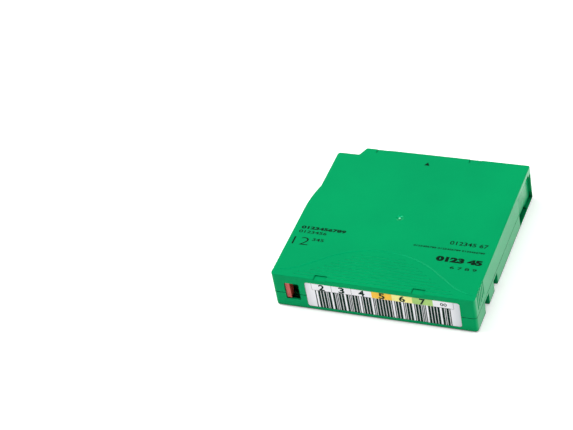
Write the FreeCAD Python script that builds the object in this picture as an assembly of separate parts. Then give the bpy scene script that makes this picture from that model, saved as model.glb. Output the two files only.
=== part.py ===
"""Half-inch data tape cartridge: a single-reel cartridge with a sliding leader pin door.

Frame: millimetres, +Z up, origin at the bottom centre. The label edge is the near edge (-Y), the
door end is the far edge (+Y), and the leader pin door is in the right side (+X).
"""

import FreeCAD, Part
import math
import os
from FreeCAD import Vector

# ---- case: two moulded shells -------------------------------------------------------------------
case_w = 105.4          # across the label edge
case_l = 102.0          # from the label edge to the door end
case_h = 21.5
wall = 2.0              # side walls
plate = 1.8             # top and bottom plates
part_z = 9.2            # height of the joint between the shells
corner_r = 1.8          # upright corners
small_r = 0.8           # upright edges of the far left cut-back and of the door's corner
bottom_r = 1.2          # bottom edge
top_r = 0.6             # top edge
seam_h = 0.35           # shadow line along the joint
seam_d = 0.3
tongue_h = 0.8          # lip of the lower shell inside the upper one
tongue_t = 0.8
fit = 0.1               # clearance between fixed pieces that slide into one another
bury = 0.1              # how deep the root of a rib or post is sunk in the wall it stands on
over = 1.0              # how far a cut runs out past the face it opens
run_gap = 0.3           # clearance between a moving piece and its seat

bulge_start = 50.0      # the left side is straight up to here, then bends inwards
bulge_r = 70.0
left_step = 2.55        # how far the far half of the left side is set in
cut_depth = 5.8         # cut-back of the far left corner
cut_len = 14.25
cut_slant = 2.55        # run of its slanted end

# ---- bell-shaped grip pad with cross grooves ------------------------------------------------------
bell_peak = 25.6        # from the label edge
bell_r = 46.5
bell_angle = 37.0       # slope of the straight flanks, degrees
bell_foot_r = 22.0
bell_low = 3.9          # level part of the outline, from the label edge
bell_depth = 0.28
bell_slope = 0.5        # run of the slanted step round the pad
groove_first = 2.25
groove_pitch = 2.13
groove_count = 10
groove_w = 0.9
groove_depth = 0.25
groove_margin = 7.6     # from the pad's outline to a groove's end
groove_reach = 41.0     # half-length of the longest groove

# ---- small forms of the outside ---------------------------------------------------------------------
dimple_r = 2.1
dimple_depth = 0.6
dimple_pip_r = 0.55     # gate mark in the hollow
edge_recess_w = 6.5     # four shallow recesses at the near and far edges
edge_recess_l = 3.2
edge_recess_depth = 0.5
edge_recess_x = 25.4    # from the reel's axis
foot_recess_w = 36.0    # shallow relief under the label edge
foot_recess_l = 4.0
foot_recess_depth = 0.25
notch_depth = 3.8       # picker notches, open at the bottom
notch_top = 7.7
notch_wall = 1.5
notches = [(13.5, 7.0), (29.0, 6.2)]    # start from the label edge, length
grip_count = 5          # upright finger grooves
grip_first = 4.4
grip_pitch = 2.35
grip_r = 0.6
grip_depth = 0.42
grip_low = 11.6
grip_rise = 0.4

# ---- label ------------------------------------------------------------------------------------------
label_in = 17.5         # from the left side
label_w = 80.0
label_z = 2.4
label_h = 15.8
label_r = 1.3
label_recess = 0.3
label_t = 0.15

# ---- write-protect slider ---------------------------------------------------------------------------
window_in = 6.4         # from the left side
window_w = 7.7
window_z = 5.7
window_h = 10.3
tab_w = 2.4
tab_gap = 0.25
tab_set_back = 0.5      # face of the tab behind the label edge
slider_t = 3.1          # of the block behind the wall
slider_lap = 0.9        # how far the block passes the window above and below
slider_tail = 1.4       # how far it passes the tab on the left
slider_ledge_w = 1.0    # of the ledges that the block runs on
window_wall = 1.0       # wall round the window
pocket_depth = 7.0      # clear depth of the pocket behind the wall
pocket_wall = 0.9
pocket_room = 1.5       # from the window to the pocket's right wall

# ---- reel ---------------------------------------------------------------------------------------------
reel_x = -1.3
reel_y = 0.2
reel_gap = 1.2          # flange to case wall
floor_gap = 0.9         # lower flange above the floor
top_gap = 1.4           # upper flange below the top plate
flange_t = 1.2
hub_r = 22.0
hub_wall = 2.2
hub_rise = 0.5          # underside of the hub floor above the flange's
hub_step_in = 0.4       # slanted step between the two, from the drive teeth outwards
hub_step_out = 0.9
hub_floor_t = 1.8
pack_gap = 3.1          # wound tape to the flanges' rims
tape_edge = 0.275       # tape edge to flange
weld_r = 20.6           # welding ridge on the hub rim
weld_w = 0.6
weld_h = 0.5
seat_in = 0.7           # ring on the floor that the reel rests on, from the drive opening outwards
seat_w = 1.2

drive_in = 12.8         # ring of drive teeth under the hub
drive_out = 16.0
drive_h = 1.2
teeth = 60
tooth_root = 0.62       # width of a tooth at its root, as a share of the pitch at the ring's inside
tooth_tip = 0.22
hub_opening_gap = 1.3   # around the drive teeth
washer_in = 4.5
washer_out = 10.5
washer_t = 0.8
washer_seat = 0.2

lock_in = 16.2          # ring of lock teeth inside the hub
lock_h = 1.2
lock_inset = 0.2        # lock teeth in from the edge of the brake disc, at either end
mesh_gap = 0.15
brake_gap = 1.0         # brake disc to hub wall
brake_t = 1.2
boss_r = 4.9            # of the brake
boss_h = 5.4
brake_lift = 1.6
pip_r = 3.0
post_arm = 3.5          # half-length of the cross post's arms
post_t = 1.2
slot_rise = 0.2         # floor of the brake's cross slot above its disc
post_gap = 0.2          # cross post to the bottom of the brake's slot, with the brake lifted
spring_seat_h = 0.7     # ring round the spring's upper end
spring_seat_w = 0.8
brake_hole_gap = 0.4    # brake disc to the flange's hole
brake_wire = 0.7
brake_coil_gap = 0.5
brake_turns = 5.0

pad_t = 1.0             # release pad
pad_gap = 0.1
pad_rim = 0.2           # of the plate round a leg
leg_r = 1.3
leg_gap = 0.1
leg_clearing = 0.5      # room for a leg between the drive teeth
legs = 3

# ---- leader pin, clip, springs and tape ------------------------------------------------------------
pin_in_x = 8.2          # from the right side
pin_in_y = 8.4          # from the far edge
pin_r = 1.2
pin_neck_r = 1.5
pin_flange_r = 2.6
pin_end_t = 0.6
pin_neck_t = 0.7
pin_inner_t = 0.5
pin_gap = 0.4           # pin end to floor
pin_top_gap = 0.9       # and to the top plate
leader_t = 0.15
clip_t = 0.7
clip_open = 100.0       # mouth of the clip, degrees
clip_turn = -45.0       # direction of the mouth
clip_end_gap = 0.4      # clip to the pin's inner flanges
pin_seat_t = 1.2
pin_seat_h = 1.4
pin_spring_t = 0.25
pin_spring_h = 0.5
pin_spring_gap = 0.05
pin_spring_root = 7.2   # from the pin's axis back to the spring's root
pin_spring_bend = 1.2   # and on to its bend and its tip
pin_spring_tip = 3.0
pin_spring_lean = 0.5
clamp_t = 0.9           # ribs that hold the root
clamp_l = 2.4
clamp_rise = 0.2        # past the pin's end flange
clamp_back = 0.4        # past the spring's root

# ---- leader pin door ----------------------------------------------------------------------------------
door_len = 24.7         # length of the recess in the side
door_gap = 0.2          # door to wall
door_t = 1.4
door_z = 3.6
door_top_gap = 1.1      # from the top plate down to the door
door_wall = 1.45        # side wall that the door slides behind
door_lap = 2.0          # panel behind the wall
door_tail = 9.3
door_tail_h = 5.0
door_foot = 8.9         # foot that closes the gap below the door at its far end
door_travel = 15.5
rim_t = 1.2             # floor below the door
slot_floor = 0.6        # floor of the slot in the rim, beside the foot
slot_in = 0.45          # outer edge of the slot behind the side
corner_len = 5.0        # lower ceiling at the corner
corner_drop = 1.5
flange_w = 1.0          # upright at the far corner
flange_in = 0.1
flange_low = 4.6
flange_gap = 0.1        # upright to the far face
sill_t = 1.0            # inner guide of the door
sill_h = 2.6
sill_lead = 6.0         # how far it starts before the door
sill_stop = 3.0         # where it ends before the pin
sill_lap = 1.0          # how far the upper one hangs beside the door
door_wire = 0.3
door_coil_r = 1.0
door_turns = 12.0
door_spring_len = 27.4
peg_r = 0.55
peg_len = 2.0
post_wall = 1.5         # post behind the door spring
post_rise = 0.4

# ---- memory board ---------------------------------------------------------------------------------------
board_w = 18.0
board_h = 12.0
board_t = 0.8
board_in_x = 16.4       # board centre from the right side
board_in_y = 7.2        # and from the label edge
board_z = 7.4
board_tilt = 45.0
chip_w = 4.0
chip_t = 0.7
board_gap = 0.05
board_rib_t = 1.5
board_rib_x = 7.2       # ribs on either side of the board's centre
board_rib_end = 5.4     # ribs' inner end, from the board's centre
board_press_start = 2.2
board_press_low = 1.4

# ---- screws and locating holes ----------------------------------------------------------------------
screw_head_r = 2.5
screw_head_h = 1.5
screw_r = 1.1
screw_len = 9.6
screw_sink = 2.4
screw_clear = 0.25
screw_head_gap = 0.4
screw_boss_r = 3.4
screw_boss_h = 4.2
pillar_r = 2.8
pilot_gap = 0.02
key_r = 0.9
key_depth = 0.8
locate_r = 1.6
locate_depth = 2.8
locate_wall = 1.3
locate_slot = 1.0       # half-length of the slot's straight part

# ---- worked-out places --------------------------------------------------------------------------------
left, right = -case_w / 2, case_w / 2
near, far = -case_l / 2, case_l / 2
roof = case_h - plate
inner_right = right - wall
lip_low = part_z - bury

flange_r = min(case_w / 2 - abs(reel_x), case_l / 2 - abs(reel_y)) - wall - reel_gap
flange_z = plate + floor_gap
flange_top = flange_z + flange_t
upper_z = roof - top_gap - flange_t
hub_floor_z = flange_z + hub_rise
hub_floor_top = hub_floor_z + hub_floor_t
cavity_r = hub_r - hub_wall
opening_r = drive_out + hub_opening_gap
brake_r = cavity_r - brake_gap
lock_out = brake_r - lock_inset
pack_r = flange_r - pack_gap
pad_z = hub_floor_top + pad_gap
brake_z = hub_floor_top + lock_h + mesh_gap
brake_top = brake_z + brake_t
leg_circle = (drive_in + drive_out) / 2

pin_x, pin_y = right - pin_in_x, far - pin_in_y
pin_z = plate + pin_gap
pin_top = roof - pin_top_gap
pin_end = pin_end_t + pin_neck_t + pin_inner_t

slide_face = right - door_wall
door_top_z = roof - door_top_gap
door_face = slide_face - door_gap
door_back = door_face - door_t
door_y = far - door_len
tail_y = door_y - door_lap - door_tail
door_mid_z = (door_z + door_top_z) / 2
door_far = far - flange_gap - flange_w
ceiling_z = door_top_z + run_gap
coil_x = door_face - door_coil_r
track_x = door_back - door_gap
post_y = tail_y - door_spring_len

screw_spots = [
    (left + 8.5, near + 13.5),
    (right - 8.3, near + 16.5),
    (left + 9.5, far - 13.0),
    (right - 16.9, far - 6.0),
]
locate_hole = (left + 8.2, far - 22.5)
locate_slot_at = (right - 13.9, far - 14.5)
board_at = Vector(right - board_in_x, near + board_in_y, board_z)


# ---- helpers ----------------------------------------------------------------------------------------------
def box(x0, x1, y0, y1, z0, z1):
    """A block between two corners."""
    return Part.makeBox(x1 - x0, y1 - y0, z1 - z0, Vector(x0, y0, z0))


def cyl(x, y, z0, z1, r):
    """An upright cylinder."""
    return Part.makeCylinder(r, z1 - z0, Vector(x, y, z0))


def ring(x, y, z0, z1, r_in, r_out):
    """An upright ring."""
    return cyl(x, y, z0, z1, r_out).cut(cyl(x, y, z0, z1, r_in))


def join(first, *rest):
    """Fuse pieces and drop the seams between flat faces."""
    return first.fuse(list(rest)).removeSplitter() if rest else first


def prism(points, vector):
    """A closed polygon pushed along a vector."""
    wire = Part.makePolygon([*points, points[0]])
    return Part.Face(wire).extrude(vector)


def plan(points, z0, z1):
    """A polygon in plan between two heights."""
    return prism([Vector(x, y, z0) for x, y in points], Vector(0, 0, z1 - z0))


def turned(points):
    """A half-profile of (radius, height) turned about the upright axis."""
    wire = Part.makePolygon([Vector(r, 0, z) for r, z in [*points, points[0]]])
    return Part.Face(wire).revolve(Vector(0, 0, 0), Vector(0, 0, 1), 360)


def at(shape, x, y, z=0.0):
    """The shape moved to a place."""
    return shape.translated(Vector(x, y, z))


def arc(centre, r, a0, a1):
    """An arc in plan between two angles in degrees."""
    return Part.makeCircle(r, centre, Vector(0, 0, 1), a0, a1)


def coil(r, wire, turns, length):
    """A coil spring of six-sided wire along +Z, from 0 to its length."""
    pitch = (length - wire) / turns
    path = Part.makeHelix(pitch, length - wire, r)
    corners = []
    for k in range(6):
        a = math.radians(60 * k)
        corners.append(Vector(r + wire / 2 * math.cos(a), 0, wire / 2 * math.sin(a)))
    section = Part.makePolygon([*corners, corners[0]])
    return Part.Wire(path).makePipeShell([section], True, True).translated(Vector(0, 0, wire / 2))


def tooth_ring(r_in, r_out, base_z, height, phase=0.0):
    """Straight teeth set round a ring; a negative height points them down."""
    pitch = 2 * math.pi * r_in / teeth
    root, tip = tooth_root * pitch / 2, tooth_tip * pitch / 2
    sunk = base_z - math.copysign(bury, height)
    side = [(-root, sunk), (root, sunk), (root, base_z), (tip, base_z + height), (-tip, base_z + height),
            (-root, base_z)]
    tooth = prism([Vector(r_in, y, z) for y, z in side], Vector(r_out - r_in, 0, 0))
    ring_teeth = []
    for k in range(teeth):
        turn = tooth.copy()
        turn.rotate(Vector(0, 0, 0), Vector(0, 0, 1), phase + 360.0 * k / teeth)
        ring_teeth.append(turn)
    return ring_teeth


# ---- the outline both shells share ----------------------------------------------------------------------
def case_face():
    """Plan outline of the case at height 0, with sharp corners."""
    centre = Vector(left + bulge_r, near + bulge_start, 0)
    a = math.degrees(math.acos((bulge_r - left_step) / bulge_r))
    bulge = arc(centre, bulge_r, 180 - a, 180)
    top_y = centre.y + bulge_r * math.sin(math.radians(a))
    corners = [
        (left + left_step, top_y),
        (left + left_step, far - cut_depth),
        (left + cut_len, far - cut_depth),
        (left + cut_len + cut_slant, far),
        (right, far),
        (right, near),
        (left, near),
        (left, centre.y),
    ]
    points = [Vector(x, y, 0) for x, y in corners]
    edges = [Part.makeLine(p, q) for p, q in zip(points, points[1:])]
    return Part.Face(Part.Wire(Part.__sortEdges__([bulge, *edges])))


def upright_edges(solid, spots):
    """The upright edges of a solid that stand at the given places in plan."""
    found = []
    for edge in solid.Edges:
        a, b = edge.Vertexes[0].Point, edge.Vertexes[-1].Point
        upright = abs(a.x - b.x) + abs(a.y - b.y) < 1e-6
        if upright and any(math.hypot(a.x - x, a.y - y) < 1e-3 for x, y in spots):
            found.append(edge)
    return found


def case_block(z0, z1):
    """The case's outline between two heights, with its upright corners rounded."""
    block = case_face().extrude(Vector(0, 0, z1 - z0)).translated(Vector(0, 0, z0))
    wide = [(left, near), (right, near), (left + left_step, far - cut_depth)]
    tight = [(left + cut_len, far - cut_depth), (left + cut_len + cut_slant, far), (right, far)]
    block = block.makeFillet(corner_r, upright_edges(block, wide))
    return block.makeFillet(small_r, upright_edges(block, tight))


def level_edges(solid, z):
    """All edges of a solid that lie at one height."""
    return [e for e in solid.Edges if abs(e.BoundBox.ZMin - z) + abs(e.BoundBox.ZMax - z) < 1e-6]


def inset(block, z, amount, z0, z1):
    """The plan section of a block at a height, drawn in by an amount, between two heights."""
    face = Part.Face(block.slice(Vector(0, 0, 1), z)[0])
    drawn = face.makeOffset2D(-amount)
    return drawn.extrude(Vector(0, 0, z1 - z0)).translated(Vector(0, 0, z0 - z))


# ---- cutters and features that both shells share ----------------------------------------------------
def label_plate(depth, shrink=0.0):
    """A round-cornered plate on the label edge, from the case's face inwards."""
    x0, x1 = left + label_in + shrink, left + label_in + label_w - shrink
    z0, z1 = label_z + shrink, label_z + label_h - shrink
    block = box(x0, x1, near, near + depth, z0, z1)
    edges = [e for e in block.Edges if e.BoundBox.YLength > depth / 2]
    return block.makeFillet(label_r - shrink, edges)


def window_cut():
    """The write-protect window, and the thinner wall round it that the slider runs behind."""
    x0 = left + window_in
    room_x = left + wall, x0 + window_w + pocket_room
    reach = slider_lap + fit
    window = box(x0, x0 + window_w, near - over, near + wall, window_z, window_z + window_h)
    room = box(*room_x, near + window_wall, near + wall + bury, window_z - reach, window_z + window_h + reach)
    return window.fuse(room)


def door_cut():
    """The room that the leader pin door needs in the right side and the far corner."""
    corner_y, corner_top = far - corner_len, ceiling_z - corner_drop
    open_y = door_y - door_lap - door_travel - run_gap
    foot_y = door_far - door_travel - door_foot - run_gap
    side = box(track_x, right + over, door_y, corner_y, rim_t, ceiling_z)
    corner = box(track_x, right + over, corner_y - bury, door_far + bury, rim_t, corner_top)
    upright = box(track_x, right + over, door_far, far + over, flange_low, corner_top)
    behind = box(track_x, slide_face, open_y, door_y + bury, door_z - run_gap, ceiling_z)
    tail_way = box(track_x, slide_face, post_y - post_wall, open_y + bury, door_mid_z - door_tail_h / 2 - run_gap,
                   door_mid_z + door_tail_h / 2 + run_gap)
    foot_way = box(track_x, slide_face, foot_y, door_y + bury, rim_t, door_z)
    slot = box(track_x, right - slot_in, door_y, door_far - door_foot, slot_floor, rim_t + bury)
    return join(side, corner, upright, behind, tail_way, foot_way, slot)


def screw_profile(shank_gap, head_gap, length, head_h):
    """A screw's or a screw hole's solid, head down at height 0."""
    head = cyl(0, 0, 0, head_h, screw_head_r + head_gap)
    shank = cyl(0, 0, 0, length, screw_r + shank_gap)
    return head.fuse(shank)


def pin_seat(z0, z1):
    """A C-shaped seat for one end of the leader pin, open towards the door."""
    inner = pin_flange_r + fit
    seat = ring(pin_x, pin_y, z0, z1, inner, inner + pin_seat_t)
    wide = inner + pin_seat_t
    way_out = box(pin_x, right, pin_y - inner, pin_y + inner, z0, z1)
    return seat.cut([way_out, box(pin_x + pin_r, right, pin_y - wide, pin_y + wide, z0, z1)])


def leaf_clamp(z0, z1):
    """Two ribs that hold the root of a pin spring between them."""
    y = pin_y - pin_spring_root - clamp_back
    x = leaf_x()
    slot = pin_spring_t / 2 + pin_spring_gap
    both = box(x - slot - clamp_t, x + slot + clamp_t, y, y + clamp_l, z0, z1)
    return both.cut(box(x - slot, x + slot, y - over, y + clamp_l + over, z0, z1))


def leaf_x():
    """The pin springs' centre line in x, just clear of the pin's flange."""
    return pin_x + pin_flange_r + pin_spring_gap + pin_spring_t / 2


def board_wedge(points, x_from_centre):
    """A rib across the memory board, drawn from (distance from the label edge, height)."""
    x = board_at.x + x_from_centre - board_rib_t / 2
    return prism([Vector(x, near + y, z) for y, z in points], Vector(board_rib_t, 0, 0))


# ---- lower shell ------------------------------------------------------------------------------------------
def lower_shell():
    """Moulded lower half: floor, walls, notches, reel seat, track and seats."""
    block = case_block(0, part_z)
    mid = part_z / 2
    cavity = inset(block, mid, wall, plate, part_z + over)
    lip = inset(block, mid, wall - tongue_t, lip_low, part_z + tongue_h)
    block = block.makeFillet(bottom_r, level_edges(block, 0))
    shell = join(block, lip).cut(cavity)

    seat_r = opening_r + seat_in
    added = [ring(reel_x, reel_y, plate - bury, flange_z - run_gap, seat_r, seat_r + seat_w)]
    for start, length in notches:
        for side in (-1, 1):
            x_out = side * case_w / 2
            x_in = x_out - side * (notch_depth + notch_wall)
            x_wall = x_out - side * (wall - bury)
            y0, y1 = near + start - notch_wall, near + start + length + notch_wall
            added.append(box(min(x_in, x_wall), max(x_in, x_wall), y0, y1, plate - bury, notch_top + notch_wall))
    for x, y in screw_spots:
        added.append(cyl(x, y, plate - bury, plate + screw_boss_h, screw_boss_r))
    boss_top = locate_depth + locate_wall
    added.append(cyl(*locate_hole, plate - bury, boss_top, locate_r + locate_wall))
    added.append(slot_post(locate_r + locate_wall, plate - bury, boss_top))
    added += pocket_walls(plate - bury, part_z)
    added.append(slider_rail(plate - bury, window_z - slider_lap - fit, window_z))
    added.append(sill(plate - bury, plate + sill_h))
    added.append(pin_seat(plate - bury, plate + pin_seat_h))
    added.append(cyl(pin_x, pin_y, plate - bury, pin_z - run_gap / 2, pin_r))
    added.append(leaf_clamp(plate - bury, pin_z + pin_end_t + clamp_rise))
    added.append(spring_post())
    added += board_ribs_below()
    shell = join(shell, *added)

    drive_way = cyl(reel_x, reel_y, -over, plate + over, opening_r)
    cuts = [drive_way, window_cut(), label_plate(label_recess), door_cut()]
    for start, length in notches:
        for side in (-1, 1):
            x_out, x_in = side * (case_w / 2 + over), side * (case_w / 2 - notch_depth)
            cuts.append(box(min(x_in, x_out), max(x_in, x_out), near + start, near + start + length,
                            -over, notch_top))
    for x, y in screw_spots:
        hole = screw_profile(screw_clear, screw_head_gap, plate + screw_boss_h + over, screw_sink)
        cuts.append(at(hole, x, y))
    cuts.append(cyl(*locate_hole, -over, locate_depth, locate_r))
    cuts.append(slot_post(locate_r, -over, locate_depth))
    half = foot_recess_w / 2
    cuts.append(box(-half, half, near - over, near + foot_recess_l, -over, foot_recess_depth))
    return shell.cut(cuts)


def slot_post(r, z0, z1):
    """An upright post or hole of slot shape at the second locating place."""
    x, y = locate_slot_at
    ends = [cyl(x + s * locate_slot, y, z0, z1, r) for s in (-1, 1)]
    return join(box(x - locate_slot, x + locate_slot, y - r, y + r, z0, z1), *ends)


def pocket_walls(z0, z1):
    """Walls that close the write-protect pocket off from the reel."""
    back = near + wall + pocket_depth
    side = left + window_in + window_w + pocket_room
    return [
        box(left + wall - bury, side + pocket_wall, back, back + pocket_wall, z0, z1),
        box(side, side + pocket_wall, near + wall - bury, back + pocket_wall, z0, z1),
    ]


def slider_rail(z_root, z_ledge, z_lip):
    """Ledge and lip along which the write-protect slider runs; z_root is at the shell's plate."""
    side = left + window_in + window_w + pocket_room + bury
    y_lip = near + window_wall + slider_t + 2 * fit
    y_back = y_lip + pocket_wall
    ledge = box(left + wall - bury, side, y_lip - slider_ledge_w, y_back, *sorted((z_root, z_ledge)))
    lip = box(left + wall - bury, side, y_lip, y_back, *sorted((z_root, z_lip)))
    return join(ledge, lip)


def sill(z0, z1):
    """Inner guide of the door, left out where the pin is drawn through."""
    return box(track_x - sill_t, track_x, door_y - door_lap - sill_lead, pin_y - pin_flange_r - sill_stop, z0, z1)


def spring_post():
    """Post with a peg that the door spring stands against."""
    x0, x1 = coil_x - door_coil_r, inner_right - fit
    post = box(x0, x1, post_y - post_wall, post_y, plate - bury, door_mid_z + door_coil_r + post_rise)
    peg = Part.makeCylinder(peg_r, peg_len + bury, Vector(coil_x, post_y - bury, door_mid_z), Vector(0, 1, 0))
    return join(post, peg)


def board_ribs_below():
    """Wedges that the memory board leans on, with a stop at its lower edge."""
    c = board_in_y + board_z
    under = c - (board_t / 2 + board_gap) * math.sqrt(2)
    edge = board_in_y - board_z + (board_h / 2 + board_gap) * math.sqrt(2)
    low, high = plate - bury, lip_low
    start, end = wall - bury, board_in_y + board_rib_end
    wedge = [(start, low), (under - low, low), (under - high, high), (start, high)]
    stop = [(edge + low, low), (end, low), (end, end - edge)]
    ribs = []
    for side in (-1, 1):
        ribs.append(board_wedge(wedge, side * board_rib_x))
        ribs.append(board_wedge(stop, side * board_rib_x))
    return ribs


# ---- upper shell ------------------------------------------------------------------------------------------
def upper_shell():
    """Moulded upper half: top plate with the grip pad, walls, brake post, pillars and seats."""
    block = case_block(part_z, case_h)
    mid = (part_z + case_h) / 2
    low, lip_top, seam_top = part_z - over, part_z + tongue_h + fit, part_z + seam_h
    cavity = inset(block, mid, wall, low, roof)
    lip_room = inset(block, mid, wall - tongue_t - fit, low, lip_top).cut(inset(block, mid, wall, low, lip_top))
    seam = inset(block, mid, -over, low, seam_top).cut(inset(block, mid, seam_d, low, seam_top))
    block = block.makeFillet(top_r, level_edges(block, case_h))
    shell = block.cut([cavity, seam])

    added = [at(brake_post(), reel_x, reel_y)]
    for x, y in screw_spots:
        added.append(cyl(x, y, plate + screw_boss_h + board_gap, roof + bury, pillar_r))
    added += pocket_walls(part_z, roof + bury)
    window_top = window_z + window_h
    added.append(slider_rail(roof + bury, window_top + slider_lap + fit, window_top))
    added.append(sill(ceiling_z - sill_lap, roof + bury))
    added.append(box(track_x - sill_t, inner_right + bury, door_y - door_lap - sill_lead, far - wall + bury,
                     ceiling_z, roof + bury))
    added.append(box(track_x, inner_right + bury, far - corner_len, far - wall + bury,
                     ceiling_z - corner_drop, roof + bury))
    added.append(pin_seat(roof - pin_seat_h, roof + bury))
    added.append(cyl(pin_x, pin_y, pin_top + run_gap / 2, roof + bury, pin_r))
    added.append(leaf_clamp(pin_top - pin_end_t - clamp_rise, roof + bury))
    added += board_ribs_above()
    shell = join(shell, *added)

    cuts = [lip_room, window_cut(), label_plate(label_recess), door_cut(), bell_cut(), *grooves(), dimple()]
    for x, y in screw_spots:
        cuts.append(cyl(x, y, plate, screw_sink + screw_len, screw_r + pilot_gap))
    for side in (-1, 1):
        x = reel_x + side * edge_recess_x
        x0, x1 = x - edge_recess_w / 2, x + edge_recess_w / 2
        z = case_h - edge_recess_depth
        cuts.append(box(x0, x1, far - edge_recess_l, far + over, z, case_h + over))
        cuts.append(box(x0, x1, near - over, near + edge_recess_l, z - bell_depth, case_h + over))
        cuts += finger_grooves(side)
    return shell.cut(cuts)


def brake_post():
    """Cross-shaped post that keeps the brake button from turning, and the spring's seat ring."""
    low = brake_top + slot_rise + brake_lift + post_gap
    arms = [box(-post_arm, post_arm, -post_t / 2, post_t / 2, low, roof + bury),
            box(-post_t / 2, post_t / 2, -post_arm, post_arm, low, roof + bury)]
    r = boss_r + brake_coil_gap + brake_wire + fit
    return join(*arms, ring(0, 0, roof - spring_seat_h, roof + bury, r, r + spring_seat_w))


def bell_curve(grow=0.0):
    """Key points of the grip pad's outline, grown by an amount: the flank's two ends and the foot's end."""
    a = math.radians(bell_angle)
    peak_r, foot_r = bell_r + grow, bell_foot_r - grow
    flank_top = peak_r * math.sin(a), bell_peak + grow - peak_r * (1 - math.cos(a))
    foot_y = bell_low + grow + foot_r * (1 - math.cos(a))
    foot_x = flank_top[0] + (flank_top[1] - foot_y) / math.tan(a)
    return flank_top, (foot_x, foot_y), foot_x + foot_r * math.sin(a)


def bell_half_width(y):
    """Half-width of the grip pad at a distance from the label edge."""
    (top_x, top_y), (foot_x, foot_y), end_x = bell_curve()
    if y > top_y:
        return math.sqrt(bell_r ** 2 - (y - bell_peak + bell_r) ** 2)
    if y > foot_y:
        return foot_x - (y - foot_y) * (foot_x - top_x) / (top_y - foot_y)
    rise = max(y, bell_low) - bell_low
    return end_x - math.sqrt(bell_foot_r ** 2 - (bell_foot_r - rise) ** 2)


def bell_outline(grow, z):
    """The grip pad's outline at a height, grown by an amount and closed beyond the label edge."""
    (top_x, top_y), (foot_x, foot_y), end_x = bell_curve(grow)
    wide, low = end_x + wall, bell_low + grow
    peak = arc(Vector(0, near + bell_peak - bell_r, z), bell_r + grow, 90 - bell_angle, 90 + bell_angle)
    feet_y = near + bell_low + bell_foot_r
    right_foot = arc(Vector(end_x, feet_y, z), bell_foot_r - grow, 270 - bell_angle, 270)
    left_foot = arc(Vector(-end_x, feet_y, z), bell_foot_r - grow, 270, 270 + bell_angle)
    chain = [
        [(top_x, top_y), (foot_x, foot_y)],
        [(end_x, low), (wide, low), (wide, -over), (-wide, -over), (-wide, low), (-end_x, low)],
        [(-foot_x, foot_y), (-top_x, top_y)],
    ]
    edges = [peak, right_foot, left_foot]
    for run in chain:
        spots = [Vector(x, near + y, z) for x, y in run]
        edges += [Part.makeLine(p, q) for p, q in zip(spots, spots[1:])]
    return Part.Wire(Part.__sortEdges__(edges))


def bell_cut():
    """The shallow sunk field of the grip pad, with a slanted step round it."""
    grow = bell_slope * (bell_depth + over) / bell_depth
    outlines = [bell_outline(0.0, case_h - bell_depth), bell_outline(grow, case_h + over)]
    return Part.makeLoft(outlines, True, True)


def grooves():
    """Cross grooves of the grip pad, each as long as the outline lets it be."""
    z = case_h - bell_depth
    cuts = []
    for k in range(groove_count):
        y = groove_first + k * groove_pitch
        half = min(bell_half_width(y) - groove_margin, groove_reach)
        side = [(y - groove_w, z + groove_depth), (y + groove_w, z + groove_depth), (y, z - groove_depth)]
        cuts.append(prism([Vector(-half, near + a, b) for a, b in side], Vector(2 * half, 0, 0)))
    return cuts


def dimple():
    """Round hollow of the moulding gate over the reel's axis, with the gate's mark left standing in it."""
    r = (dimple_r ** 2 + dimple_depth ** 2) / (2 * dimple_depth)
    hollow = Part.makeSphere(r, Vector(reel_x, reel_y, case_h - dimple_depth + r))
    return hollow.cut(cyl(reel_x, reel_y, 0, case_h - dimple_depth / 2, dimple_pip_r))


def finger_grooves(side):
    """Upright grooves in one side wall, with round lower ends."""
    x = side * (case_w / 2 + grip_r - grip_depth)
    cuts = []
    for k in range(grip_count):
        y = near + grip_first + k * grip_pitch
        z = grip_low + grip_r + k * grip_rise
        cuts.append(cyl(x, y, z, case_h + over, grip_r))
        cuts.append(Part.makeSphere(grip_r, Vector(x, y, z)))
    return cuts


def board_ribs_above():
    """Ribs that press the memory board onto its wedges."""
    over = board_in_y + board_z + (board_t / 2 + board_gap) * math.sqrt(2)
    start, end, low = board_in_y - board_press_start, board_in_y + board_rib_end, board_z - board_press_low
    points = [(start, roof + bury), (end, roof + bury), (end, low), (over - low, low), (start, over - start)]
    return [board_wedge(points, side * board_rib_x) for side in (-1, 1)]


# ---- reel ---------------------------------------------------------------------------------------------------
def reel_hub():
    """Hub and lower flange in one moulding, with drive teeth below and lock teeth inside."""
    body = turned([
        (0, hub_floor_z), (drive_out + hub_step_in, hub_floor_z), (drive_out + hub_step_out, flange_z),
        (flange_r, flange_z), (flange_r, flange_top), (hub_r, flange_top), (hub_r, upper_z), (weld_r + weld_w, upper_z),
        (weld_r + weld_w, upper_z + weld_h), (weld_r, upper_z + weld_h), (weld_r, upper_z),
        (cavity_r, upper_z), (cavity_r, hub_floor_top), (0, hub_floor_top),
    ])
    body = body.cut(cyl(0, 0, 0, hub_floor_z + washer_seat, washer_out + fit))
    body = body.fuse(cyl(0, 0, hub_floor_z, hub_floor_z + washer_seat + bury, washer_in - fit))
    drive = tooth_ring(drive_in, drive_out, hub_floor_z, -drive_h)
    lock = tooth_ring(lock_in, lock_out, hub_floor_top, lock_h)
    body = body.fuse([*drive, *lock])
    holes = [cyl(*spot, 0, hub_floor_top + over, leg_r + leg_gap) for spot in leg_spots()]
    clearings = [cyl(*spot, 0, hub_floor_z, leg_r + leg_clearing) for spot in leg_spots()]
    return at(body.cut([*holes, *clearings]), reel_x, reel_y)


def leg_spots():
    """Places of the release pad's legs round the reel's axis."""
    spots = []
    for k in range(legs):
        a = math.radians(90 + 360 * k / legs)
        spots.append((leg_circle * math.cos(a), leg_circle * math.sin(a)))
    return spots


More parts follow.
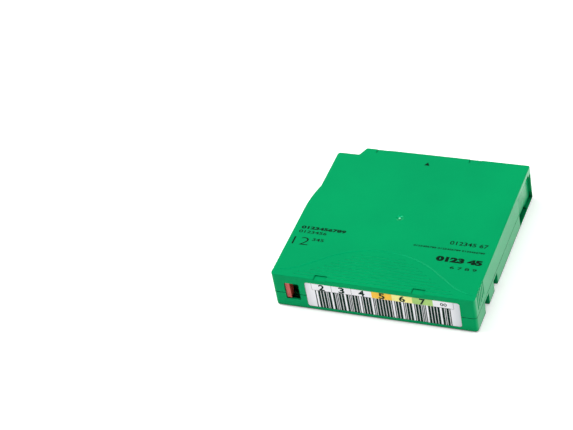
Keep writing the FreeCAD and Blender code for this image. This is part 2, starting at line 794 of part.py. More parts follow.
def reel_upper_flange():
    """Flat ring welded on the hub's rim."""
    flange = ring(0, 0, upper_z, upper_z + flange_t, brake_r + brake_hole_gap, flange_r)
    flange = flange.cut(ring(0, 0, upper_z, upper_z + weld_h + fit, weld_r - fit, weld_r + weld_w + fit))
    return at(flange, reel_x, reel_y)


def drive_washer():
    """Steel ring that the drive's magnet holds."""
    top = hub_floor_z + washer_seat
    return ring(reel_x, reel_y, top - washer_t, top, washer_in, washer_out)


def tape_pack():
    """The wound tape as one ring between the flanges."""
    return ring(reel_x, reel_y, flange_top + tape_edge, upper_z - tape_edge, hub_r + board_gap, pack_r)


# ---- brake and release ------------------------------------------------------------------------------------
def brake_button():
    """Toothed disc with a cross-slotted boss; its teeth sit between the hub's lock teeth."""
    button = join(cyl(0, 0, brake_z, brake_top, brake_r), cyl(0, 0, brake_z, brake_top + boss_h, boss_r),
                  cyl(0, 0, pad_z + pad_t + pad_gap, brake_top, pip_r))
    arm, half = post_arm + fit, post_t / 2 + fit
    low, high = brake_top + slot_rise, brake_top + boss_h + over
    button = button.cut([box(-arm, arm, -half, half, low, high), box(-half, half, -arm, arm, low, high)])
    half_a_tooth = 180.0 / teeth
    lock = tooth_ring(lock_in + lock_inset, lock_out - lock_inset, brake_z, -lock_h, half_a_tooth)
    return at(button.fuse(lock), reel_x, reel_y)


def brake_spring():
    """Coil spring between the brake disc and the top plate."""
    spring = coil(boss_r + brake_coil_gap + brake_wire / 2, brake_wire, brake_turns, roof - brake_top)
    return at(spring, reel_x, reel_y, brake_top)


def release_pad():
    """Three-cornered plate with three legs that pass through the hub floor."""
    ends = [cyl(*spot, pad_z, pad_z + pad_t, leg_r + pad_rim) for spot in leg_spots()]
    plate_body = plan(leg_spots(), pad_z, pad_z + pad_t)
    posts = [cyl(*spot, hub_floor_z - drive_h + leg_gap, pad_z + pad_t, leg_r) for spot in leg_spots()]
    return at(join(plate_body, cyl(0, 0, pad_z, pad_z + pad_t, drive_in - leg_r), *ends, *posts), reel_x, reel_y)


# ---- leader pin and tape ----------------------------------------------------------------------------------
def leader_pin():
    """Turned pin with two flanges and a neck at each end."""
    half = [(pin_flange_r, 0), (pin_flange_r, pin_end_t), (pin_neck_r, pin_end_t),
            (pin_neck_r, pin_end_t + pin_neck_t), (pin_flange_r, pin_end_t + pin_neck_t),
            (pin_flange_r, pin_end), (pin_r, pin_end)]
    height = pin_top - pin_z
    points = [(0, 0), *half, *[(r, height - z) for r, z in reversed(half)], (0, height)]
    return at(turned(points), pin_x, pin_y, pin_z)


def tangent_angle(loop_r):
    """Direction, from either axis, of the points where the tape leaves the pack and meets the pin."""
    dx, dy = pin_x - reel_x, pin_y - reel_y
    lean = math.asin((pack_r + board_gap + leader_t / 2 - loop_r) / math.hypot(dx, dy))
    return math.atan2(dy, dx) + lean - math.pi / 2


def leader_tape():
    """The tape's free end: a straight run from the pack and a loop round the pin."""
    z0, z1 = flange_top + tape_edge, upper_z - tape_edge
    loop_in = pin_r + board_gap
    loop_r = loop_in + leader_t / 2
    a = tangent_angle(loop_r)
    out = Vector(math.cos(a), math.sin(a), 0)
    start = Vector(reel_x, reel_y, z0) + out * (pack_r + board_gap)
    end = Vector(pin_x, pin_y, z0) + out * loop_in
    strip = prism([start, start + out * leader_t, end + out * leader_t, end], Vector(0, 0, z1 - z0))
    return join(strip, ring(pin_x, pin_y, z0, z1, loop_in, loop_in + leader_t))


def leader_pin_clip():
    """C-shaped clamp over the tape's loop."""
    r = pin_r + board_gap + leader_t + board_gap
    z0, z1 = pin_z + pin_end + clip_end_gap, pin_top - pin_end - clip_end_gap
    clip = ring(pin_x, pin_y, z0, z1, r, r + clip_t)
    reach = 3 * (r + clip_t)
    mouth = []
    for turn in (-1, 1):
        b = math.radians(clip_turn + turn * clip_open / 2)
        mouth.append((pin_x + reach * math.cos(b), pin_y + reach * math.sin(b)))
    b = math.radians(clip_turn)
    corner = (pin_x + reach * math.cos(b), pin_y + reach * math.sin(b))
    return clip.cut(plan([(pin_x, pin_y), mouth[0], corner, mouth[1]], z0 - over, z1 + over))


def pin_spring(z0):
    """Leaf spring beside one end flange of the pin, its root between two ribs and its tip bent in."""
    x, t = leaf_x(), pin_spring_t / 2
    root, bend, tip = pin_y - pin_spring_root, pin_y + pin_spring_bend, pin_y + pin_spring_tip
    lean = pin_spring_lean
    points = [(x - t, root), (x + t, root), (x + t, bend), (x + t - lean, tip), (x - t - lean, tip), (x - t, bend)]
    return plan(points, z0, z0 + pin_spring_h)


# ---- door ---------------------------------------------------------------------------------------------------
def leader_pin_door():
    """Sliding door: panel, tail with the spring's seat, foot in its slot and the upright at the far corner."""
    panel_y, step_y = door_y - door_lap, far - corner_len - run_gap
    low_top = ceiling_z - corner_drop - run_gap
    tail_z = door_mid_z - door_tail_h / 2, door_mid_z + door_tail_h / 2
    panel = box(door_back, door_face, panel_y, step_y, door_z, door_top_z)
    end = box(door_back, door_face, panel_y, door_far, door_z, low_top)
    tail = box(door_back, door_face, tail_y, panel_y + bury, *tail_z)
    seat = box(coil_x - door_coil_r, door_face, tail_y, tail_y + door_t, *tail_z)
    peg = Part.makeCylinder(peg_r, peg_len + bury, Vector(coil_x, tail_y + bury, door_mid_z), Vector(0, -1, 0))
    foot = box(door_back, door_face - fit, door_far - door_foot, door_far, rim_t + run_gap, door_z)
    upright = box(door_back, right - flange_in, door_far, far - flange_gap, flange_low + fit, low_top)
    return join(panel, end, tail, seat, peg, foot, upright)


def door_spring():
    """Coil spring that pushes the door shut."""
    spring = coil(door_coil_r - door_wire / 2, door_wire, door_turns, door_spring_len)
    spring.rotate(Vector(0, 0, 0), Vector(1, 0, 0), -90)
    return spring.translated(Vector(coil_x, post_y, door_mid_z))


# ---- write-protect slider, label, memory, screws --------------------------------------------------
def write_protect_slider():
    """Slider with a tab in the window and a block that runs behind the wall."""
    x0 = left + window_in + tab_gap
    z0, z1 = window_z, window_z + window_h
    y0 = near + window_wall + fit
    tab = box(x0, x0 + tab_w, near + tab_set_back, y0, z0 + tab_gap, z1 - tab_gap)
    block = box(x0 - slider_tail, x0 + tab_w, y0, y0 + slider_t, z0 - slider_lap, z1 + slider_lap)
    return join(tab, block)


def label():
    """Printed strip in its recess on the label edge."""
    plate_body = label_plate(label_recess, fit)
    return plate_body.cut(box(left, right, near - over, near + label_recess - label_t, 0, case_h))


def tilted(shape):
    """A shape laid out about the memory board's centre, tilted and put in its place."""
    shape.rotate(Vector(0, 0, 0), Vector(1, 0, 0), -board_tilt)
    return shape.translated(board_at)


def memory_board():
    """Small circuit board that leans in the corner beside the label."""
    return tilted(box(-board_w / 2, board_w / 2, -board_h / 2, board_h / 2, -board_t / 2, board_t / 2))


def memory_chip():
    """Chip on the board's upper face."""
    half = chip_w / 2
    return tilted(box(-half, half, -half, half, board_t / 2, board_t / 2 + chip_t))


def case_screws():
    """Four self-tapping screws with six-sided keyways, heads sunk in the floor."""
    screw = screw_profile(0, 0, screw_len, screw_head_h)
    corners = []
    for k in range(6):
        a = math.radians(60 * k)
        corners.append((key_r * math.cos(a), key_r * math.sin(a)))
    screw = screw.cut(plan(corners, -over, key_depth))
    low = screw_sink - screw_head_h
    return Part.makeCompound([at(screw, x, y, low) for x, y in screw_spots])


# ---- write every sub-part -----------------------------------------------------------------------------------
pieces = {
    "upper_shell": upper_shell(),
    "lower_shell": lower_shell(),
    "case_screws": case_screws(),
    "label": label(),
    "write_protect_slider": write_protect_slider(),
    "memory_board": memory_board(),
    "memory_chip": memory_chip(),
    "reel_hub": reel_hub(),
    "reel_upper_flange": reel_upper_flange(),
    "drive_washer": drive_washer(),
    "tape_pack": tape_pack(),
    "brake_button": brake_button(),
    "brake_spring": brake_spring(),
    "release_pad": release_pad(),
    "leader_pin": leader_pin(),
    "leader_pin_clip": leader_pin_clip(),
    "leader_tape": leader_tape(),
    "pin_spring_lower": pin_spring(pin_z),
    "pin_spring_upper": pin_spring(pin_top - pin_spring_h),
    "leader_pin_door": leader_pin_door(),
    "door_spring": door_spring(),
}

os.makedirs("parts", exist_ok=True)
for name, shape in pieces.items():
    shape.exportStep(f"parts/{name}.step")
    print(f"{name:22s} solids {len(shape.Solids)} valid {shape.isValid()} volume {shape.Volume:.1f}")
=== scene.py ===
"""Looks of a half-inch data tape cartridge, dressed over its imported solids.

Metres, +Z up, origin under the middle of the case. The label edge faces -Y, the pin door +X.
"""

import math
import random

import bmesh
import bpy
from mathutils import Matrix, Vector


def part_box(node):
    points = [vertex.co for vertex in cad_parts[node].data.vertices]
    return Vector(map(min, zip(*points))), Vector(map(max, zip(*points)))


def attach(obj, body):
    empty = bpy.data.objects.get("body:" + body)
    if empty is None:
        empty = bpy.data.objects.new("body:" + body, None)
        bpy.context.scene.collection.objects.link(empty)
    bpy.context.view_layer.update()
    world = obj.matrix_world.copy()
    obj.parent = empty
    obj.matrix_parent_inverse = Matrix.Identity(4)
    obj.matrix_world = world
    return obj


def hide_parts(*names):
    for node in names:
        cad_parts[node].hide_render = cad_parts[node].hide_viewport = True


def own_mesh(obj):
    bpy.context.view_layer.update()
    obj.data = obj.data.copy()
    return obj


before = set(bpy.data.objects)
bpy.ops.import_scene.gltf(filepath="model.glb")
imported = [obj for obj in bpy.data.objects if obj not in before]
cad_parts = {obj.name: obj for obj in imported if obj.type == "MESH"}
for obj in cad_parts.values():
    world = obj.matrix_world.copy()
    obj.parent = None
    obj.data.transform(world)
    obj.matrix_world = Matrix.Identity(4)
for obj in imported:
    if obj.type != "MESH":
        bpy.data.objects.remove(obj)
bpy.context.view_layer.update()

# ---- Case halves ---------------------------------------------------------------------------------
# Two shells injection moulded in green polycarbonate, held together by four screws from below. The
# tool was spark eroded, so the skin has a very fine matt grain, and the plastic is dyed right through.
MM = 0.001
case_left, case_near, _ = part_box("lower_shell")[0]
case_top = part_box("upper_shell")[1].z


def linear(red, green, blue):
    """A colour given as 0-255 screen values, as the shader wants it."""
    out = []
    for value in (red, green, blue):
        share = value / 255
        out.append(share / 12.92 if share <= 0.04045 else ((share + 0.055) / 1.055) ** 2.4)
    return (*out, 1.0)


def shader(name, roughness):
    """A material with its shader, its node maker and its link maker."""
    material = bpy.data.materials.new(name)
    material.use_nodes = True
    tree = material.node_tree
    surface = tree.nodes["Principled BSDF"]
    surface.inputs["Roughness"].default_value = roughness
    return material, surface, tree.nodes.new, tree.links.new


def ranged(make, low, high, at_low=0.0, at_high=1.0):
    """A node that turns a value between low and high into one between two others."""
    node = make("ShaderNodeMapRange")
    for socket, value in zip(("From Min", "From Max", "To Min", "To Max"), (low, high, at_low, at_high)):
        node.inputs[socket].default_value = value
    return node


def noise(make, size, detail):
    """A noise pattern with patches of a size in millimetres."""
    pattern = make("ShaderNodeTexNoise")
    pattern.inputs["Scale"].default_value = 1 / (size * MM)
    pattern.inputs["Detail"].default_value = detail
    return pattern


def coloured_by(make, link, surface, pattern, colours, ends=(0.0, 1.0)):
    """Runs the base colour from one colour to another with a pattern."""
    ramp = make("ShaderNodeValToRGB")
    for stop, colour, end in zip(ramp.color_ramp.elements, colours, ends):
        stop.position, stop.color = end, colour
    link(pattern.outputs["Fac"], ramp.inputs["Fac"])
    link(ramp.outputs["Color"], surface.inputs["Base Color"])


def raised_by(make, link, surface, pattern, strength, depth):
    """Gives the surface bumps of a depth in millimetres where a pattern is high."""
    bump = make("ShaderNodeBump")
    bump.inputs["Strength"].default_value = strength
    bump.inputs["Distance"].default_value = depth * MM
    link(pattern.outputs["Fac"], bump.inputs["Height"])
    link(bump.outputs["Normal"], surface.inputs["Normal"])


def clouded(make, link, surface, colours, size):
    """Base colour that drifts between two close shades over patches of a size in millimetres."""
    place = make("ShaderNodeTexCoord")
    cloud = noise(make, size, 3.0)
    link(place.outputs["Object"], cloud.inputs["Vector"])
    coloured_by(make, link, surface, cloud, colours, (0.35, 0.65))
    return place


def grained(make, link, surface, place, size, depth):
    """Fine grain: bumps of a size and depth in millimetres."""
    grain = noise(make, size, 2.0)
    link(place.outputs["Object"], grain.inputs["Vector"])
    raised_by(make, link, surface, grain, 0.6, depth)


def shaded_in_corners(make, link, surface, reach, floor, dark=0.25, clear=0.85):
    """Takes the base colour down inside holes and narrow corners, where light hardly gets in."""
    colour = surface.inputs["Base Color"].links[0].from_socket
    corner = make("ShaderNodeAmbientOcclusion")
    corner.inputs["Distance"].default_value = reach * MM
    corner.samples = 8
    span = ranged(make, dark, clear, floor)
    mix = make("ShaderNodeMix")
    mix.data_type = "RGBA"
    mix.blend_type = "MULTIPLY"
    mix.inputs["Factor"].default_value = 1.0
    link(corner.outputs["AO"], span.inputs["Value"])
    link(colour, mix.inputs["A"])
    link(span.outputs["Result"], mix.inputs["B"])
    link(mix.outputs["Result"], surface.inputs["Base Color"])


def moulded(name, colours, roughness=0.5, cloud=30.0, grain=0.18, depth=0.006, tint=None, corners=None):
    """Moulded plastic with a slight drift of colour and a fine grain; with corners given, painted shade
    darkens its holes and narrow corners.
    """
    material, surface, make, link = shader(name, roughness)
    place = clouded(make, link, surface, colours, cloud)
    grained(make, link, surface, place, grain, depth)
    if corners:
        shaded_in_corners(make, link, surface, *corners)
    if tint:
        surface.inputs["Specular Tint"].default_value = tint
    return material


def dress(name, material, smooth_angle=28):
    """Gives a CAD node its finish, with round faces shaded round and edges kept crisp."""
    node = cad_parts[name]
    node.data.materials.clear()
    node.data.materials.append(material)
    node.data.polygons.foreach_set("use_smooth", [True] * len(node.data.polygons))
    node.data.set_sharp_from_angle(angle=math.radians(smooth_angle))
    return node


shell_green = (linear(0, 152, 90), linear(0, 147, 88))
green_sheen = (0.0, 1.0, 0.55, 1.0)
# The shells' colour is taken down in holes, grooves and corners by the occlusion node: painted shade.
shell_skin = moulded("eroded_green_plastic", shell_green, 0.28, tint=green_sheen, corners=(4.0, 0.2))


def polished_gate_with_painted_highlight(material, centre, radius, roughness, nip, painted_highlight):
    """Polishes a round spot in plan, and paints a pale highlight on the nip in its middle, the stub where
    the sprue broke off.
    """
    tree = material.node_tree
    make, link = tree.nodes.new, tree.links.new
    surface = tree.nodes["Principled BSDF"]
    place, level, away = (make(f"ShaderNode{kind}") for kind in ("TexCoord", "VectorMath", "VectorMath"))
    level.operation = "MULTIPLY"
    level.inputs[1].default_value = (1, 1, 0)
    away.operation = "DISTANCE"
    away.inputs[1].default_value = (centre[0], centre[1], 0)
    spot = ranged(make, radius * 0.95, radius, roughness, surface.inputs["Roughness"].default_value)
    middle = ranged(make, nip, nip * 0.6)
    pale = make("ShaderNodeMix")
    pale.data_type = "RGBA"
    pale.inputs["B"].default_value = painted_highlight
    link(place.outputs["Object"], level.inputs[0])
    link(level.outputs[0], away.inputs[0])
    link(away.outputs["Value"], spot.inputs["Value"])
    link(away.outputs["Value"], middle.inputs["Value"])
    link(spot.outputs["Result"], surface.inputs["Roughness"])
    link(middle.outputs["Result"], pale.inputs["Factor"])
    link(surface.inputs["Base Color"].links[0].from_socket, pale.inputs["A"])
    link(pale.outputs["Result"], surface.inputs["Base Color"])


def duller_faces(material, axis, lean, within, level, roughness):
    """Makes faces duller whose normals reach about as far along an axis as lean says."""
    tree = material.node_tree
    make, link = tree.nodes.new, tree.links.new
    surface = tree.nodes["Principled BSDF"]
    place, split = (make(f"ShaderNode{kind}") for kind in ("TexCoord", "SeparateXYZ"))
    facing, short, apart = (make("ShaderNodeMath") for _ in range(3))
    facing.operation = "ABSOLUTE"
    short.operation = "SUBTRACT"
    short.inputs[1].default_value = lean
    apart.operation = "ABSOLUTE"
    link(place.outputs["Normal"], split.inputs["Vector"])
    link(split.outputs[axis], facing.inputs[0])
    link(facing.outputs["Value"], short.inputs[0])
    link(short.outputs["Value"], apart.inputs[0])
    for socket, dull in (("Specular IOR Level", level), ("Roughness", roughness)):
        share = ranged(make, within / 4, within, dull, surface.inputs[socket].default_value)
        link(apart.outputs["Value"], share.inputs["Value"])
        if surface.inputs[socket].links:
            link(surface.inputs[socket].links[0].from_socket, share.inputs["To Max"])
        link(share.outputs["Result"], surface.inputs[socket])


hub_low, hub_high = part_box("reel_hub")
reel_axis = (hub_low + hub_high) / 2
# The pale colour mixed in at the nip is a painted highlight.
painted_highlight = linear(118, 214, 168)
polished_gate_with_painted_highlight(shell_skin, reel_axis, radius=2.2 * MM, roughness=0.08, nip=0.75 * MM, painted_highlight=painted_highlight)
# The two ends and the slanted step round the grip pad are eroded more coarsely than the rest.
duller_faces(shell_skin, "Y", lean=1.0, within=0.4, level=0.04, roughness=0.5)
duller_faces(shell_skin, "Z", lean=0.87, within=0.07, level=0.2, roughness=0.4)
for shell in ("upper_shell", "lower_shell"):
    dress(shell, shell_skin)

# ---- Top print --------------------------------------------------------------------------------------
# Dark green ink pad-printed on the top: a small triangle near the far edge that shows which end goes in
# first, and plain numbers on either side of the grip pad. The ink is a few thousandths of a millimetre.
ink_t = 0.004 * MM


def piece_of(name, form, material):
    """Makes an object of a finished bmesh and its material."""
    mesh = bpy.data.meshes.new(name)
    form.to_mesh(mesh)
    form.free()
    mesh.materials.append(material)
    piece = bpy.data.objects.new(name, mesh)
    bpy.context.scene.collection.objects.link(piece)
    return piece


def add_plate(form, outline, to_place, thickness):
    """Adds a thin closed plate: an outline of (across, up) pairs in millimetres, placed by a function."""
    front = [form.verts.new(to_place(a, b, thickness)) for a, b in outline]
    back = [form.verts.new(to_place(a, b, 0)) for a, b in outline]
    form.faces.new(front)
    form.faces.new(list(reversed(back)))
    for k in range(len(outline)):
        j = (k + 1) % len(outline)
        form.faces.new((front[j], front[k], back[k], back[j]))


def on_top(across, up, depth):
    """A place on the case's top face, from its left side and label edge; depth goes up."""
    return Vector((case_left + across * MM, case_near + up * MM, case_top - ink_t / 4 + depth))


def ink(name, colour, roughness=0.55):
    """Matt printing ink, very slightly uneven."""
    material, surface, make, link = shader(name, roughness)
    darker = tuple(c * 0.94 for c in colour[:3]) + (1.0,)
    clouded(make, link, surface, (colour, darker), 1.5)
    surface.inputs["Specular IOR Level"].default_value = 0.08
    return material


def add_figures(form, text, low_left, width, height, to_place, thickness, weight=0.0):
    """Adds a row of plain figures that fills a width and height from its lower left corner."""
    curve = bpy.data.curves.new("figures", "FONT")
    curve.body = text
    curve.extrude = 0.5
    curve.offset = weight
    curve.resolution_u = 4
    loose = bpy.data.objects.new("figures", curve)
    bpy.context.scene.collection.objects.link(loose)
    bpy.context.view_layer.update()
    mesh = bpy.data.meshes.new_from_object(loose.evaluated_get(bpy.context.evaluated_depsgraph_get()))
    bpy.data.objects.remove(loose)
    low_x, high_x = min(v.co.x for v in mesh.vertices), max(v.co.x for v in mesh.vertices)
    low_y, high_y = min(v.co.y for v in mesh.vertices), max(v.co.y for v in mesh.vertices)
    for vertex in mesh.vertices:
        across = low_left[0] + (vertex.co.x - low_x) / (high_x - low_x) * width
        up = low_left[1] + (vertex.co.y - low_y) / (high_y - low_y) * height
        vertex.co = to_place(across, up, (vertex.co.z + 0.5) * thickness)
    form.from_mesh(mesh)
    bpy.data.meshes.remove(mesh)


top_ink = ink("dark_green_ink", linear(0, 30, 15))
mark_x, mark_y, mark_w, mark_h = 52.7, 93.0, 3.0, 2.6
mark_form = bmesh.new()
mark_outline = [(mark_x - mark_w / 2, mark_y), (mark_x + mark_w / 2, mark_y), (mark_x, mark_y + mark_h)]
add_plate(mark_form, mark_outline, on_top, ink_t)
insertion_mark = piece_of("insertion_mark", mark_form, top_ink)

number_rows = [
    ("0123456789", (3.9, 34.7), 24.0, 2.3, 0.05),
    ("0123456", (3.6, 31.7), 15.0, 2.0, 0.02),
    ("12", (2.9, 22.9), 8.6, 5.6, -0.012),
    ("345", (12.6, 26.6), 6.2, 2.1, 0.02),
    ("012345 67", (82.0, 36.6), 19.6, 2.7, 0.02),
    ("0123456789 0123456789 0123456789", (64.5, 32.4), 36.8, 1.2, 0.04),
    ("0123 45", (78.4, 24.0), 23.6, 3.7, 0.07),
    ("6 7 8 9", (87.0, 19.6), 13.6, 1.9, 0.02),
]
number_form = bmesh.new()
for text, low_left, width, height, weight in number_rows:
    add_figures(number_form, text, low_left, width, height, on_top, ink_t, weight)
top_numbers = piece_of("top_numbers", number_form, top_ink)
for piece in (insertion_mark, top_numbers):
    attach(piece, "case")

# ---- Label --------------------------------------------------------------------------------------------
# A strip of coated white label stock stuck in its recess on the near edge. It is printed with a row of
# seven cells, three of them coloured, with a plain number in each, and a row of upright bars below.
label_low, label_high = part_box("label")
print_t = 0.02 * MM


def on_label(across, up, depth):
    """A place on the label's face, measured from the case's left side and bottom; depth goes outwards."""
    return Vector((case_left + across * MM, label_low.y - depth + print_t / 4, up * MM))


def paper():
    """Coated paper that greys a little towards the label's two ends."""
    material, surface, make, link = shader("coated_label_paper", 0.35)
    place = make("ShaderNodeTexCoord")
    split = make("ShaderNodeSeparateXYZ")
    ends = ranged(make, label_low.x, label_high.x)
    ramp = make("ShaderNodeValToRGB")
    stops = ramp.color_ramp.elements
    stops[0].color = linear(208, 208, 214)
    stops[1].position, stops[1].color = 1.0, linear(196, 200, 206)
    for spot, colour in ((0.05, linear(232, 232, 236)), (0.93, linear(232, 232, 236))):
        stop = stops.new(spot)
        stop.color = colour
    link(place.outputs["Object"], split.inputs["Vector"])
    link(split.outputs["X"], ends.inputs["Value"])
    link(ends.outputs["Result"], ramp.inputs["Fac"])
    link(ramp.outputs["Color"], surface.inputs["Base Color"])
    grained(make, link, surface, place, 0.08, 0.002)
    return material


dress("label", paper())

cell_edges = [21.2 + 10.46 * k for k in range(8)]
cell_low, cell_high = 13.95, label_high.z / MM - 0.05
cell_inks = {
    3: ink("orange_label_ink", linear(246, 196, 70), 0.4),
    4: ink("yellow_label_ink", linear(243, 236, 150), 0.4),
    5: ink("green_label_ink", linear(168, 208, 120), 0.4),
}
label_ink = ink("black_label_ink", linear(0, 40, 29), 0.6)


def add_bar(form, x0, x1, z0, z1, thickness):
    """Adds one upright rectangle of print on the label."""
    add_plate(form, [(x0, z0), (x1, z0), (x1, z1), (x0, z1)], on_label, thickness)


printed = []
for k, cell_ink in cell_inks.items():
    cell_form = bmesh.new()
    add_bar(cell_form, cell_edges[k], cell_edges[k + 1], cell_low, cell_high, print_t)
    printed.append(piece_of(f"label_cell_{k + 1}", cell_form, cell_ink))

bar_left, bar_right, bar_low, bar_high = 22.6, 92.9, label_low.z / MM + 0.02, 13.9
bar_groups, elements, wide, spread = 10, 9, 2.7, 0.25
group_w = (bar_right - bar_left) / bar_groups
draw = random.Random(7)
bar_form = bmesh.new()
for group in range(bar_groups):
    wide_ones = draw.sample(range(0, elements, 2), 3) + draw.sample(range(1, elements, 2), 1)
    widths = [wide if k in wide_ones else 1.0 for k in range(elements)]
    module = group_w / (sum(widths) + 1)
    x = bar_left + group * group_w
    for k, width in enumerate(widths):
        if k % 2 == 0:
            add_bar(bar_form, x, x + (width + spread) * module, bar_low, bar_high, print_t)
        x += width * module
printed.append(piece_of("label_bars", bar_form, label_ink))

line = 0.13
line_form = bmesh.new()
for k in (0, 1, 2, 6):
    add_bar(line_form, cell_edges[k], cell_edges[k + 1], cell_low - line, cell_low, print_t)
for k in (0, 1, 2, 7):
    add_bar(line_form, cell_edges[k] - line, cell_edges[k], cell_low, cell_high, print_t)
printed.append(piece_of("label_cell_lines", line_form, label_ink))

figure_h, figure_w, bold = 3.9, 3.1, 0.03
figure_t = 2 * print_t
figure_form = bmesh.new()
for k in range(6):
    low_left = ((cell_edges[k] + cell_edges[k + 1] - figure_w) / 2, cell_low + 0.1)
    add_figures(figure_form, str(k + 2), low_left, figure_w, figure_h, on_label, figure_t, bold)
low_left = ((cell_edges[6] + cell_edges[7] - figure_w) / 2, cell_low + 1.0)
add_figures(figure_form, "00", low_left, 3.4, 2.0, on_label, figure_t, bold / 2)
printed.append(piece_of("label_numbers", figure_form, label_ink))
for piece in printed:
    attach(piece, "case")

# ---- Write-protect slider ------------------------------------------------------------------------
# A red tab behind the window beside the label, moulded in one piece with the block that runs behind
# the wall. Pushed across, it closes the window's dark half and locks the cartridge against writing.
slider_red = (linear(196, 72, 58), linear(182, 60, 48))
# The red is taken down hard where the tab sits deep in the window: painted shade.
slider_skin = moulded("red_plastic", slider_red, 0.4, cloud=4.0, corners=(6.0, 0.05, 0.5, 0.95))
dress("write_protect_slider", slider_skin)

# ---- Leader pin door -----------------------------------------------------------------------------
# A thin green sliding door, moulded apart from the case and a shade greyer. A coil spring of hard
# steel wire keeps it shut, and shortens against its post as the door slides open.
door_green = (linear(2, 152, 91), linear(0, 146, 88))
dress("leader_pin_door", moulded("door_green_plastic", door_green, 0.26, tint=green_sheen))


def steel(name, colour, roughness, grain, stretch):
    """Bare steel with fine drawn or turned lines along one axis."""
    material, surface, make, link = shader(name, roughness)
    surface.inputs["Metallic"].default_value = 1.0
    place = make("ShaderNodeTexCoord")
    lengthen = make("ShaderNodeMapping")
    lengthen.inputs["Scale"].default_value = stretch
    lines = noise(make, grain, 3.0)
    link(place.outputs["Object"], lengthen.inputs["Vector"])
    link(lengthen.outputs["Vector"], lines.inputs["Vector"])
    darker = tuple(c * 0.8 for c in colour[:3]) + (1.0,)
    coloured_by(make, link, surface, lines, (darker, colour))
    raised_by(make, link, surface, lines, 0.3, 0.004)
    return material


wire_steel = steel("drawn_spring_wire", linear(196, 198, 200), 0.28, 0.2, (1.0, 1.0, 1.0))


def compressed_by(name):
    """Puts a copy of a coil spring's mesh, dressed in spring wire, in place of its CAD node, riding with
    the case.
    """
    coil = bpy.data.objects.new(f"{name}_coil", dress(name, wire_steel, 50).data.copy())
    bpy.context.scene.collection.objects.link(coil)
    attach(coil, "case")
    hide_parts(name)
    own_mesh(coil)


compressed_by("door_spring")

# ---- Screws ------------------------------------------------------------------------------------------
# Four plated self-tapping screws with flat heads. They are sunk in the lower shell's floor and
# driven up into the upper shell's pillars, and hold the two shells together.
dress("case_screws", steel("plated_screw_steel", linear(186, 188, 190), 0.32, 0.5, (1.0, 1.0, 8.0)))

# ---- Memory board --------------------------------------------------------------------------------
# A small circuit board with a printed aerial and one chip in black resin. It leans at 45 degrees in
# the corner by the label, so that a reader finds it from below and from the end.
board_green = (linear(16, 84, 40), linear(12, 74, 36))
dress("memory_board", moulded("solder_mask", board_green, 0.25, cloud=2.0, grain=0.3, depth=0.002))
chip_black = (linear(24, 24, 25), linear(18, 18, 19))
dress("memory_chip", moulded("chip_resin", chip_black, 0.35, cloud=1.0, grain=0.1, depth=0.004))

# ---- Reel ------------------------------------------------------------------------------------------
# Hub and lower flange are one moulding in pale grey plastic, with drive teeth below and lock teeth
# inside; the upper flange is welded on. The drive's magnet holds the steel ring in the hub's floor.
reel_grey = (linear(196, 198, 199), linear(188, 190, 192))
reel_skin = moulded("pale_reel_plastic", reel_grey, 0.35, cloud=12.0, grain=0.3, depth=0.003)
for part in ("reel_hub", "reel_upper_flange"):
    dress(part, reel_skin)
dress("drive_washer", steel("turned_washer_steel", linear(176, 178, 182), 0.3, 0.4, (1.0, 1.0, 1.0)))


def wound_tape():
    """Polished edge of wound tape: dark, with fine rings round the reel's axis."""
    material, surface, make, link = shader("wound_tape_edge", 0.25)
    low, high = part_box("tape_pack")
    place = make("ShaderNodeTexCoord")
    shift = make("ShaderNodeMapping")
    shift.inputs["Location"].default_value = (-(low.x + high.x) / 2, -(low.y + high.y) / 2, 0)
    turns = make("ShaderNodeTexWave")
    turns.wave_type = "RINGS"
    turns.rings_direction = "Z"
    turns.inputs["Scale"].default_value = 900.0
    turns.inputs["Distortion"].default_value = 1.5
    turns.inputs["Detail"].default_value = 3.0
    link(place.outputs["Object"], shift.inputs["Vector"])
    link(shift.outputs["Vector"], turns.inputs["Vector"])
    coloured_by(make, link, surface, turns, (linear(22, 20, 20), linear(44, 38, 36)))
    raised_by(make, link, surface, turns, 0.25, 0.01)
    return material


tape_skin = wound_tape()
for part in ("tape_pack", "leader_tape"):
    dress(part, tape_skin)

# ---- Brake and release pad -----------------------------------------------------------------------
# The brake is a toothed button in white acetal, pressed into the hub's lock teeth by a coil spring. The
# three-legged pad under it is pushed up by the drive's spindle and lifts the brake clear, which shortens
# the spring against the top of the case.
acetal = (linear(226, 226, 220), linear(216, 216, 210))
brake_skin = moulded("white_acetal", acetal, 0.3, cloud=8.0, grain=0.4, depth=0.002)
for part in ("brake_button", "release_pad"):
    dress(part, brake_skin)
compressed_by("brake_spring")

# ---- Leader pin ------------------------------------------------------------------------------------
# A turned steel pin, to which a C-shaped clip of white acetal clamps the tape's free end. Two leaf
# springs hold its ends in their seats until the drive draws it out through the open door.
pin_steel = steel("turned_pin_steel", linear(206, 207, 208), 0.18, 0.3, (1.0, 1.0, 12.0))
dress("leader_pin", pin_steel)
dress("leader_pin_clip", brake_skin)
for part in ("pin_spring_lower", "pin_spring_upper"):
    dress(part, wire_steel)

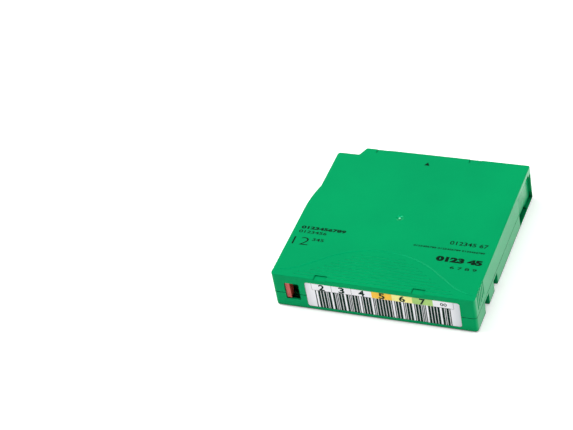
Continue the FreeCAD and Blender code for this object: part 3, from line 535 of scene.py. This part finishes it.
# ---- Studio ------------------------------------------------------------------------------------------
# A plain pale floor that glows a little, brighter far out where the lights don't reach, inside white
# walls. Two broad soft lights hang over it and a third fills the right side.
floor_mesh = bpy.data.meshes.new("studio_floor")
floor_form = bmesh.new()
bmesh.ops.create_grid(floor_form, x_segments=8, y_segments=8, size=3.0)
floor_form.to_mesh(floor_mesh)
floor_form.free()
floor = bpy.data.objects.new("studio_floor", floor_mesh)
bpy.context.scene.collection.objects.link(floor)
floor_paint, floor_surface, make, link = shader("pale_sweep", 0.9)
floor_surface.inputs["Base Color"].default_value = (0.9, 0.9, 0.9, 1.0)
floor_surface.inputs["Specular IOR Level"].default_value = 0.0
floor_surface.inputs["Emission Color"].default_value = (1.0, 1.0, 1.0, 1.0)
spot, away = (make(f"ShaderNode{kind}") for kind in ("TexCoord", "VectorMath"))
away.operation = "LENGTH"
glow = ranged(make, 0.5, 1.6, 0.3, 0.78)
link(spot.outputs["Object"], away.inputs[0])
link(away.outputs["Value"], glow.inputs["Value"])
link(glow.outputs["Result"], floor_surface.inputs["Emission Strength"])
floor_mesh.materials.append(floor_paint)

world = bpy.data.worlds.new("studio_walls")
world.use_nodes = True
walls = world.node_tree
place, height = (walls.nodes.new(f"ShaderNode{kind}") for kind in ("TexCoord", "SeparateXYZ"))
strength = ranged(walls.nodes.new, 0.12, 0.35, 0.8, 0.12)
walls.links.new(place.outputs["Generated"], height.inputs["Vector"])
walls.links.new(height.outputs["Z"], strength.inputs["Value"])
walls.links.new(strength.outputs["Result"], walls.nodes["Background"].inputs["Strength"])
walls.nodes["Background"].inputs["Color"].default_value = (1.0, 1.0, 1.0, 1.0)
bpy.context.scene.world = world


def softbox(name, place, size, power):
    """A square area light of a size in metres that points at the cartridge."""
    lamp = bpy.data.lights.new(name, "AREA")
    lamp.shape = "SQUARE"
    lamp.size = size
    lamp.energy = power
    light = bpy.data.objects.new(name, lamp)
    light.location = place
    light.rotation_euler = (-Vector(place)).to_track_quat("-Z", "Y").to_euler()
    bpy.context.scene.collection.objects.link(light)


softbox("key", (-0.95, 0.0, 1.2), 0.9, 18)
softbox("overhead", (0.15, 0.05, 1.4), 1.2, 14)
softbox("right_fill", (1.2, 0.2, 0.5), 0.6, 4.5)

camera_place = (0.29144, -0.66381, 0.64335)
view_azimuth, view_elevation, view_roll = (math.radians(a) for a in (28.18, 39.89, 11.86))
look = Vector((
    -math.sin(view_azimuth) * math.cos(view_elevation),
    math.cos(view_azimuth) * math.cos(view_elevation),
    -math.sin(view_elevation),
))
level_right = look.cross(Vector((0, 0, 1))).normalized()
level_up = level_right.cross(look)
camera_up = level_up * math.cos(view_roll) + level_right * math.sin(view_roll)
camera_right = look.cross(camera_up)
lens = bpy.data.cameras.new("studio_camera")
lens.sensor_width = 36.0
lens.lens = 118.95
camera = bpy.data.objects.new("studio_camera", lens)
turn = Matrix((camera_right, camera_up, -look)).transposed()
camera.matrix_world = Matrix.Translation(camera_place) @ turn.to_4x4()
bpy.context.scene.collection.objects.link(camera)
bpy.context.scene.camera = camera
bpy.context.scene.view_settings.view_transform = "Standard"
